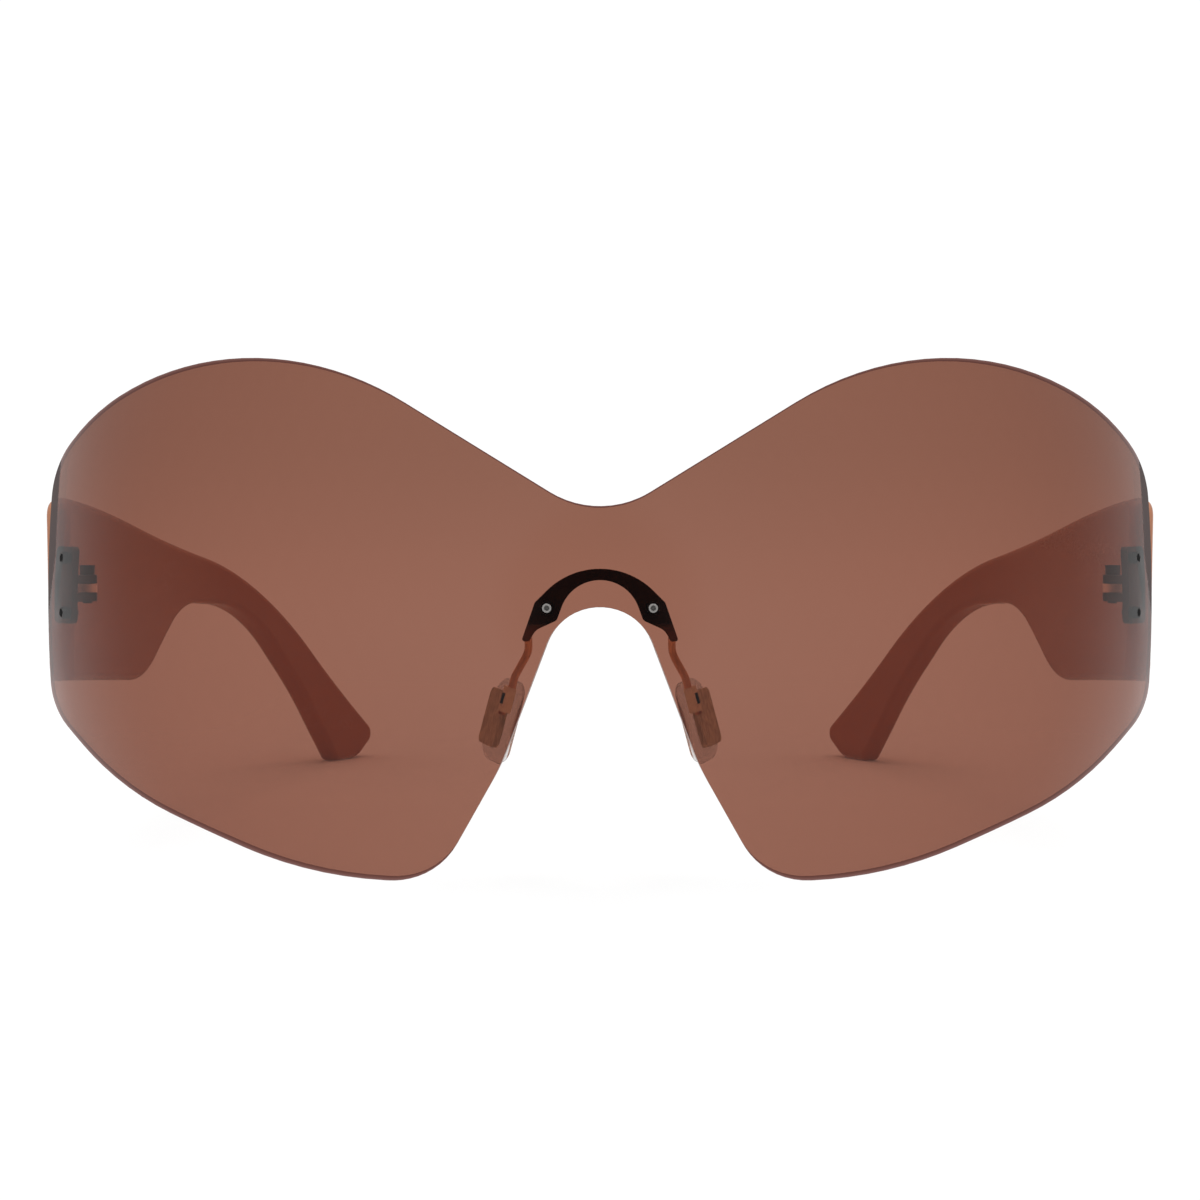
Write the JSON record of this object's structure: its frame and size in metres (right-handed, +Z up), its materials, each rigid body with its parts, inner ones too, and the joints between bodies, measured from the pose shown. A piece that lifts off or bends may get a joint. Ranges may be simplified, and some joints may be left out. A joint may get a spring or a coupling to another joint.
{
  "type": "shield sunglasses",
  "caption": "Rimless wrap-around shield sunglasses with a tinted lens, a metal bridge that carries silicone nose pads, and plastic temples that fold in on hinges.",
  "frame": {"origin": "centre of the bounding box's bottom face, on the table that the sunglasses stand on", "axes": "+X to the wearer's left, -Y the way that the lens faces, +Z up"},
  "size_m": [0.1526, 0.1697, 0.0651],
  "materials": {
    "tinted_lens": "polished brown tinted polycarbonate",
    "temple_plastic": "satin terracotta brown",
    "gold_metal": "polished gold plating",
    "steel": "polished",
    "gunmetal": "satin dark plating",
    "black_metal": "satin black",
    "clear_silicone": "clear, slightly frosted",
    "bush_plastic": "translucent"
  },
  "bodies": {
    "front": {"shield_lens": "tinted_lens", "lens_bushes": "bush_plastic", "bridge_plate": "gold_metal", "bridge_rivets": "steel", "left_pad_box": "gold_metal", "left_pad_screw": "gold_metal", "left_hinge_plate": "gunmetal", "left_hinge_rivets": "black_metal", "left_hinge_screw": "gunmetal", "right_pad_box": "gold_metal", "right_pad_screw": "gold_metal", "right_hinge_plate": "gunmetal", "right_hinge_rivets": "black_metal", "right_hinge_screw": "gunmetal"},
    "left_temple": {"left_temple": "temple_plastic", "left_temple_hinge": "gold_metal"},
    "left_pad": {"left_nose_pad": "clear_silicone", "left_pad_core": "steel"},
    "right_temple": {"right_temple": "temple_plastic", "right_temple_hinge": "gold_metal"},
    "right_pad": {"right_nose_pad": "clear_silicone", "right_pad_core": "steel"}
  },
  "joints": [
    {"name": "left_temple_fold", "type": "hinge", "parent": "front", "child": "left_temple", "pos_m": [0.06995, -0.03728, 0.03515], "axis": [0, 0, 1], "range_deg": [0, 87]},
    {"name": "left_pad_swivel", "type": "hinge", "parent": "front", "child": "left_pad", "pos_m": [0.01152, -0.07517, 0.02275], "axis": [-0.2588, 0, 0.9659], "range_deg": [-10, 10]},
    {"name": "right_temple_fold", "type": "hinge", "parent": "front", "child": "right_temple", "pos_m": [-0.06995, -0.03728, 0.03515], "axis": [0, 0, -1], "range_deg": [0, 75]},
    {"name": "right_pad_swivel", "type": "hinge", "parent": "front", "child": "right_pad", "pos_m": [-0.01152, -0.07517, 0.02275], "axis": [-0.2588, 0, -0.9659], "range_deg": [-10, 10]}
  ]
}
